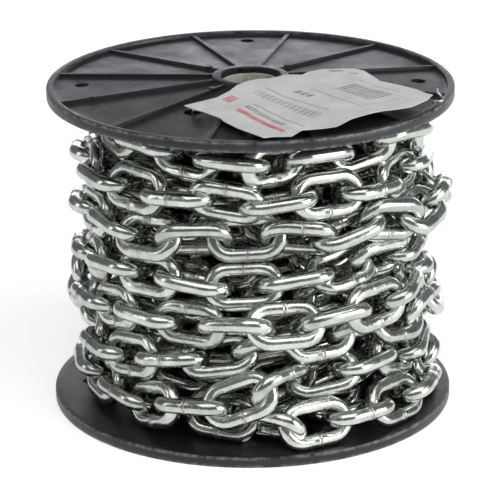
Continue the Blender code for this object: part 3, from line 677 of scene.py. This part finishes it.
def link_frames(joints, lean):
    """Middle of each link, the direction along it, and the direction of its width."""
    middle = (joints[1:] + joints[:-1]) / 2
    along = joints[1:] - joints[:-1]
    along /= np.linalg.norm(along, axis=1, keepdims=True)
    outward = middle * (1, 1, 0)
    outward -= along * np.sum(outward * along, axis=1, keepdims=True)
    outward /= np.linalg.norm(outward, axis=1, keepdims=True)
    upward = np.cross(outward, along)
    upward *= np.sign(upward[:, 2:3])
    across = outward * np.cos(lean)[:, None] + upward * np.sin(lean)[:, None]
    return middle, along, across


def link_outline(steps):
    """Middle line of a link's wire, as distances along and across the link."""
    bend = (LINK_WIDTH - 2 * WIRE_RADIUS) / 2
    straight = PITCH / 2 + WIRE_RADIUS - bend
    whole = 4 * straight + 2 * math.pi * bend
    points = []
    for i in range(steps):
        s = whole * i / steps
        side = 1 if s < whole / 2 else -1
        s %= whole / 2
        if s < 2 * straight:
            points.append((side * (straight - s), side * bend))
        else:
            turn = (s - 2 * straight) / bend
            points.append((side * (-straight - bend * math.sin(turn)), side * bend * math.cos(turn)))
    return np.array(points)


def wire_points(outline, middle, along, across):
    """Points round the wire of every link."""
    return middle[:, None] + outline[None, :, :1] * along[:, None] + outline[None, :, 1:] * across[:, None]


def keep_pitch(joints):
    """Bring the joints back to one pitch apart, even links and odd links by turns."""
    for _ in range(PITCH_ROUNDS):
        for start in (0, 1):
            left, right = joints[:-1][start::2], joints[1:][start::2]
            step = right - left
            shift = step * (1 - PITCH / np.linalg.norm(step, axis=1, keepdims=True)) / 2
            left += shift
            right -= shift


def keep_square(lean):
    """Limit how far each link turns on the next from square to it."""
    off = (np.diff(lean) % math.pi) - math.pi / 2
    excess = np.clip(off, -TWIST_LIMIT, TWIST_LIMIT) - off
    lean[1:] += excess / 3
    lean[:-1] -= excess / 3


def push(one, other, gap):
    """How far each point of one wire is pushed by each point of the other, to keep the gap."""
    apart = one[:, :, None] - other[:, None]
    distance = np.linalg.norm(apart, axis=3)
    return apart * (np.maximum(gap - distance, 0) / np.maximum(distance, 1e-6))[..., None]


def settle(joints, lean, spacing, rounds, wall, hold=0.0, outward=0.0, fixed=None):
    """Push links apart where their wires are too near, and keep the pitch, until the winding lies still.

    The wires stay off the wall, a radius for each height, and off the fixed wires. The links are held
    towards where they began, or drawn outward, less and less as they settle.
    """
    wanted, wanted_lean = joints.copy(), lean.copy()
    outline = link_outline(STEPS_ROUND_LINK)
    low = RIM_HEIGHT + CLEAR + WIRE_RADIUS * OFF_FLANGE
    high = REEL_HEIGHT - RIM_HEIGHT - CLEAR - WIRE_RADIUS * OFF_FLANGE
    share = 0.5 + outline[None, :, :1] / PITCH
    lever = TURNING * outline[:, 1] / (LINK_WIDTH / 2) ** 2
    first, second = np.triu_indices(len(lean), 2)

    for round_number in range(rounds):
        done = min(1, round_number / rounds / CLOSING)
        gap = spacing * min(1, FIRST_SPACING + SPACING_GROWTH * done)
        middle, along, across = link_frames(joints, lean)
        normal = np.cross(across, along)
        normal *= -np.sign(np.cross(middle * (1, 1, 0), along)[:, 2:3])
        wire = wire_points(outline, middle, along, across)
        near = np.linalg.norm(middle[first] - middle[second], axis=1) < NEAR
        a, b = first[near], second[near]
        between = push(wire[a], wire[b], gap)
        forces = np.zeros_like(wire)
        np.add.at(forces, a, between.sum(axis=2) / 2)
        np.add.at(forces, b, -between.sum(axis=1) / 2)
        if fixed is not None:
            a, b = np.nonzero(np.linalg.norm(middle[:, None] - fixed.mean(axis=1)[None], axis=2) < NEAR)
            np.add.at(forces, a, push(wire[a], fixed[b], gap).sum(axis=2))
        reach = np.linalg.norm(wire[..., :2], axis=2)
        inner = wall(wire[..., 2]) + WIRE_RADIUS * OFF_WALL
        radial = wire * (1, 1, 0) / reach[..., None]
        forces += radial * (np.maximum(inner - reach, 0) - np.maximum(reach - OUTER_LIMIT, 0))[..., None]
        forces[..., 2] += np.maximum(low - wire[..., 2], 0) - np.maximum(wire[..., 2] - high, 0)
        pushed = np.maximum((np.abs(forces).max(axis=2) > 0).sum(axis=1), 2)[:, None]
        divisor = pushed ** (EVENING - EVENING_DROP * done)
        joints[:-1] += (forces * (1 - share)).sum(axis=1) / divisor
        joints[1:] += (forces * share).sum(axis=1) / divisor
        lean += ((forces * normal[:, None]).sum(axis=2) * lever).sum(axis=1) / divisor[:, 0]
        pull = hold * (1 - done) ** 2
        joints += (wanted - joints) * pull
        lean += (wanted_lean - lean) * pull
        level = joints * (1, 1, 0)
        joints += level / np.linalg.norm(level, axis=1, keepdims=True) * outward * (1 - done)
        keep_square(lean)
        keep_pitch(joints)
    return joints, lean


def outer_links():
    """The outer layer, settled: the links' numbers, the joints between them and their leans."""
    numbers, joints, lean = wound_links()
    joints, lean = settle(joints, lean, WIRE_SPACING, ROUNDS, core_radius, hold=HOLD)
    return numbers, joints, lean


def inner_links(outer_frames):
    """The winding under the outer layer, drawn outward until its wires meet the outer links'."""
    rng = np.random.default_rng(INNER_SEED)
    number = np.arange(INNER_TURNS * INNER_LINKS_PER_TURN + 1)
    turn = number / INNER_LINKS_PER_TURN
    height = INNER_BOTTOM + INNER_RISE * turn + rng.uniform(-1, 1, len(number)) * INNER_SPREAD
    radius = INNER_RADIUS + rng.uniform(-1, 1, len(number)) * INNER_SPREAD
    angle = 2 * math.pi * turn
    joints = np.stack([radius * np.sin(angle), -radius * np.cos(angle), height], axis=1)
    links = number[:-1]
    lean = np.radians(INNER_LEAN + 90 * links
                      + rng.uniform(-INNER_LEAN_SPREAD, INNER_LEAN_SPREAD, len(links)))
    fixed = wire_points(link_outline(STEPS_ROUND_LINK), *outer_frames)
    return settle(joints, lean, INNER_SPACING, INNER_ROUNDS, lambda height: INNER_WALL,
                  outward=OUTWARD_DRAW, fixed=fixed)


def link_section(welded_side, other_side, steps):
    """Rings round a link: distance along and across the link, how much thicker, and how much weld."""
    bend = DRAWN_WIDTH / 2 - DRAWN_WIRE
    straight = PITCH / 2 + DRAWN_WIRE - bend
    angles = [math.pi * k / steps for k in range(1, steps)]
    rings = [(x * straight, bend, thicker, weld) for x, thicker, weld in welded_side]
    rings += [(straight + bend * math.sin(a), bend * math.cos(a), 1, 0) for a in angles]
    rings += [(x * straight, -bend, 1, 0) for x in other_side]
    rings += [(-straight - bend * math.sin(a), -bend * math.cos(a), 1, 0) for a in angles]
    return np.array(rings)


def chain_mesh(name, middle, along, across, rings, around, rng):
    """The links as one mesh of round wire, with their welds on one side or the other."""
    flat = rings[:, :2]
    ahead = np.roll(flat, -1, axis=0) - np.roll(flat, 1, axis=0)
    ahead /= np.linalg.norm(ahead, axis=1, keepdims=True)
    side = np.stack([ahead[:, 1], -ahead[:, 0]], axis=1)
    angles = 2 * math.pi * np.arange(around) / around
    link_faces = ring_faces(len(rings), around)
    size = len(rings) * around
    points, faces, welds, tones = [], [], [], []
    for i in range(len(middle)):
        y_axis = across[i] * rng.choice((-1.0, 1.0))
        x_axis = along[i] * rng.choice((-1.0, 1.0))
        thick = DRAWN_WIRE * rings[:, 2:3] * (1 + WIRE_SPREAD * rng.uniform(-1, 1))
        local = flat[:, None] + side[:, None] * (thick * np.cos(angles)[None])[..., None]
        out = (thick * np.sin(angles)[None])[..., None]
        wire = (middle[i] + local[..., :1] * x_axis + local[..., 1:] * y_axis
                + out * np.cross(x_axis, y_axis))
        reach = np.linalg.norm(wire[..., :2], axis=2, keepdims=True)
        wire[..., :2] *= np.minimum(1, DRAWN_LIMIT / reach)
        points.append(wire.reshape(-1, 3))
        faces.append(link_faces + i * size)
        welds.append(np.repeat(rings[:, 3], around))
        tones.append(np.full(size, rng.uniform(0, 1)))
    mesh = mesh_of(name, np.concatenate(points), np.concatenate(faces))
    for key, values in (("weld", welds), ("tone", tones)):
        layer = mesh.attributes.new(key, "FLOAT", "POINT")
        layer.data.foreach_set("value", np.concatenate(values).astype(np.float32))
    return mesh


def add_layer(prefix, frames, turns, rings, around, seed, finish):
    """The links of one layer, with a piece for each turn."""
    rng = np.random.default_rng(seed)
    for turn in range(turns.max() + 1):
        own = [values[turns == turn] for values in frames]
        mesh = chain_mesh(f"{prefix}_links_{turn + 1}", *own, rings, around, rng)
        add_smooth(f"{prefix}_row_{turn + 1}", mesh, finish, [f"{prefix}_turn_{turn + 1}"])


def add_chain(outer_finish, painted_shade_inner_finish):
    """Both layers of links, of which only the outer one shows its welds; the inner one is in a darker copy of
    the zinc, as painted shade.
    """
    numbers, joints, lean = outer_links()
    outer = link_frames(joints, lean)
    turns = np.minimum((numbers + LINKS_PER_TURN // 2) // LINKS_PER_TURN, TURN_COUNT - 1)
    rings = link_section(WELDED_SIDE, OTHER_SIDE, OUTER_BEND_STEPS)
    add_layer("chain", outer, turns, rings, OUTER_WIRE_SIDES, OUTER_LOOKS_SEED, outer_finish)

    inner = link_frames(*inner_links(outer))
    turns = np.arange(INNER_TURNS * INNER_LINKS_PER_TURN) // INNER_LINKS_PER_TURN
    rings = link_section(INNER_WELDED_SIDE, INNER_OTHER_SIDE, INNER_BEND_STEPS)
    add_layer("inner", inner, turns, rings, INNER_WIRE_SIDES, INNER_LOOKS_SEED, painted_shade_inner_finish)


def add_chain_depth(finish):
    """The lumpy mass of the deepest turns, seen only through gaps, in zinc painted dark as shade."""
    around, levels = DRUM_GRID
    low, high = RIM_HEIGHT + CLEAR, REEL_HEIGHT - RIM_HEIGHT - CLEAR
    points = []
    for i in range(around):
        a = 2 * math.pi * i / around
        for k in range(levels):
            z = low + (high - low) * k / (levels - 1)
            lump = math.sin(8 * a + k * 1.1) * math.sin(z / (2.1 * MM))
            lump += 0.5 * math.sin(21 * a - z / (3 * MM))
            r = DRUM_RADIUS + DRUM_LUMPS * lump
            points.append((r * math.cos(a), r * math.sin(a), z))
        points += [(BORE_RADIUS * math.cos(a), BORE_RADIUS * math.sin(a), z) for z in (high, low)]
    mesh = mesh_of("depth", points, ring_faces(around, levels + 2))
    add_smooth("chain_depth", mesh, finish, ["chain_core"], sharp_angle=40)


# Label and ties


def along_edge(points, share):
    """Point at a share of the way along a line of points."""
    points = np.array(points, dtype=float)
    lengths = np.concatenate([[0], np.cumsum(np.linalg.norm(np.diff(points[:, :2], axis=0), axis=1))])
    return np.array([np.interp(share * lengths[-1], lengths, points[:, i]) for i in range(3)])


def label_surface(s, t):
    """Underside of the label: s runs along its rear and front edges, t from the rear to the front."""
    rear, front = along_edge(LABEL_REAR, s), along_edge(LABEL_FRONT, s)
    left, right = along_edge(LABEL_LEFT, t), along_edge(LABEL_RIGHT, t)
    corners = (LABEL_REAR[0], LABEL_REAR[-1], LABEL_FRONT[0], LABEL_FRONT[-1])
    shares = ((1 - s) * (1 - t), s * (1 - t), (1 - s) * t, s * t)
    flat = sum(share * np.array(corner) for share, corner in zip(shares, corners))
    x, y, z = ((1 - t) * rear + t * front + (1 - s) * left + s * right - flat) * MM
    waves = 0.25 * math.sin(9 * s + 4 * t) + 0.2 * math.sin(17 * s - 9 * t + 1)
    waves += 0.14 * math.sin(23 * t + 6 * s)
    waves += 0.3 * abs(math.sin(5.5 * s + 2.5 * t)) * math.sin(math.pi * t)
    crumpled = z + LABEL_CRUMPLE * waves * math.sin(math.pi * s) ** 0.5
    lowest = rise(math.hypot(x, y), DISH) + LABEL_LIFT
    return x, y, REEL_HEIGHT + max(crumpled, lowest)


def sheet_faces(steps, rows):
    """Faces of a thin sheet: the underside, the upper side and the edge between them."""
    size = (steps + 1) * (rows + 1)
    faces = []
    for i in range(steps):
        for k in range(rows):
            a = i * (rows + 1) + k
            b = a + rows + 1
            faces.append((a, a + 1, b + 1, b))
            faces.append((a + size, b + size, b + 1 + size, a + 1 + size))
    edge = [(i, 0) for i in range(steps)] + [(steps, k) for k in range(rows)]
    edge += [(i, rows) for i in range(steps, 0, -1)] + [(0, k) for k in range(rows, 0, -1)]
    edge = [i * (rows + 1) + k for i, k in edge]
    return faces + [(a, b, b + size, a + size) for a, b in zip(edge, edge[1:] + edge[:1])]


def add_label(finish):
    """The paper label as a thin closed sheet, with the coordinates that its marks follow."""
    steps, rows = LABEL_GRID
    grid = [(i / steps, k / rows) for i in range(steps + 1) for k in range(rows + 1)]
    under = [label_surface(s, t) for s, t in grid]
    points = under + [(x, y, z + LABEL_THICKNESS) for x, y, z in under]
    mesh = mesh_of("label", points, sheet_faces(steps, rows))
    shape = bmesh.new()
    shape.from_mesh(mesh)
    bmesh.ops.recalc_face_normals(shape, faces=shape.faces)
    layer = shape.loops.layers.uv.new("sheet")
    shape.verts.ensure_lookup_table()
    for face in shape.faces:
        for loop in face.loops:
            loop[layer].uv = grid[loop.vert.index % len(grid)]
    shape.to_mesh(mesh)
    shape.free()
    add_smooth("paper_label", mesh, finish, ["label"], sharp_angle=50)


def add_wire(name, points, finish, replaced):
    """A thin wire on a smooth curve through the points."""
    curve = bpy.data.curves.new(name, "CURVE")
    curve.dimensions = "3D"
    curve.bevel_depth = TIE_RADIUS
    curve.bevel_resolution = 3
    curve.use_fill_caps = True
    spline = curve.splines.new("BEZIER")
    spline.bezier_points.add(len(points) - 1)
    for point, (x, y, z) in zip(spline.bezier_points, points):
        point.co = (x * MM, y * MM, REEL_HEIGHT + z * MM)
        point.handle_left_type = point.handle_right_type = "AUTO"
    add_piece(name, curve, finish, replaced)


# Camera, lights and floor


def add_camera():
    """The photograph's camera, as its place, pitch, azimuth and roll give it."""
    level = math.cos(CAMERA_PITCH)
    forward = Vector((math.sin(CAMERA_AZIMUTH) * level, math.cos(CAMERA_AZIMUTH) * level,
                      -math.sin(CAMERA_PITCH)))
    right = forward.cross(Vector((0, 0, 1))).normalized()
    up = right.cross(forward)
    turned_right = math.cos(CAMERA_ROLL) * right + math.sin(CAMERA_ROLL) * up
    turned_up = -math.sin(CAMERA_ROLL) * right + math.cos(CAMERA_ROLL) * up
    data = bpy.data.cameras.new("camera")
    data.sensor_width = SENSOR
    data.lens = FOCAL_PIXELS / IMAGE_SIZE * SENSOR
    data.clip_start = 0.05
    camera = bpy.data.objects.new("camera", data)
    pose = Matrix((turned_right, turned_up, -forward)).transposed().to_4x4()
    pose.translation = CAMERA_PLACE
    camera.matrix_world = pose
    bpy.context.scene.collection.objects.link(camera)
    bpy.context.scene.camera = camera


def add_lights():
    """The soft boxes, turned to the reel."""
    for name, place, size, watts, colour in LIGHTS:
        data = bpy.data.lights.new(name, "AREA")
        data.shape = "RECTANGLE"
        data.size, data.size_y = size
        data.energy = watts
        data.color = colour
        lamp = bpy.data.objects.new(name, data)
        lamp.location = place
        towards = Vector(LIGHT_TARGET) - Vector(place)
        lamp.rotation_euler = towards.to_track_quat("-Z", "Y").to_euler()
        bpy.context.scene.collection.objects.link(lamp)


def add_floor(finish):
    """The floor under the reel, which isn't part of it."""
    shape = bmesh.new()
    bmesh.ops.create_grid(shape, x_segments=2, y_segments=2, size=FLOOR_REACH)
    mesh = bpy.data.meshes.new("floor")
    shape.to_mesh(mesh)
    shape.free()
    mesh.materials.append(finish)
    floor = bpy.data.objects.new("floor", mesh)
    floor.location.z = -FLOOR_DROP
    bpy.context.scene.collection.objects.link(floor)


def add_sky():
    """Even pale light from all round."""
    world = bpy.data.worlds.new("studio")
    bpy.context.scene.world = world
    world.use_nodes = True
    background = world.node_tree.nodes["Background"]
    background.inputs["Color"].default_value = (0.93, 0.96, 1.0, 1)
    background.inputs["Strength"].default_value = 0.2


add_camera()
add_floor(floor_white())
add_sky()
add_lights()
bpy.context.scene.view_settings.view_transform = "Standard"

plastic = moulded_plastic()
add_flange("top_flange", DISH, REEL_HEIGHT, 1, plastic)
add_flange("bottom_flange", 0.0, 0.0, -1, plastic)
add_tube(cardboard())

# The inner layer's zinc is a darker copy of the outer one's: painted shade under the outer layer.
add_chain(zinc("bright_zinc", (0.62, 0.64, 0.60), (0.43, 0.45, 0.42)),
          zinc("inner_zinc_painted_shade", (0.56, 0.58, 0.54), (0.39, 0.41, 0.38)))
# The deepest turns' zinc is painted dark, as painted shade in the gaps between the outer links.
add_chain_depth(zinc("painted_shade_zinc", (0.16, 0.17, 0.16), (0.08, 0.09, 0.08)))

add_label(paper())
wire = tie_wire()
add_wire("label_wire", LABEL_TIE, wire, ["label_tie"])
add_wire("end_wire", END_TIE, wire, ["end_tie"])
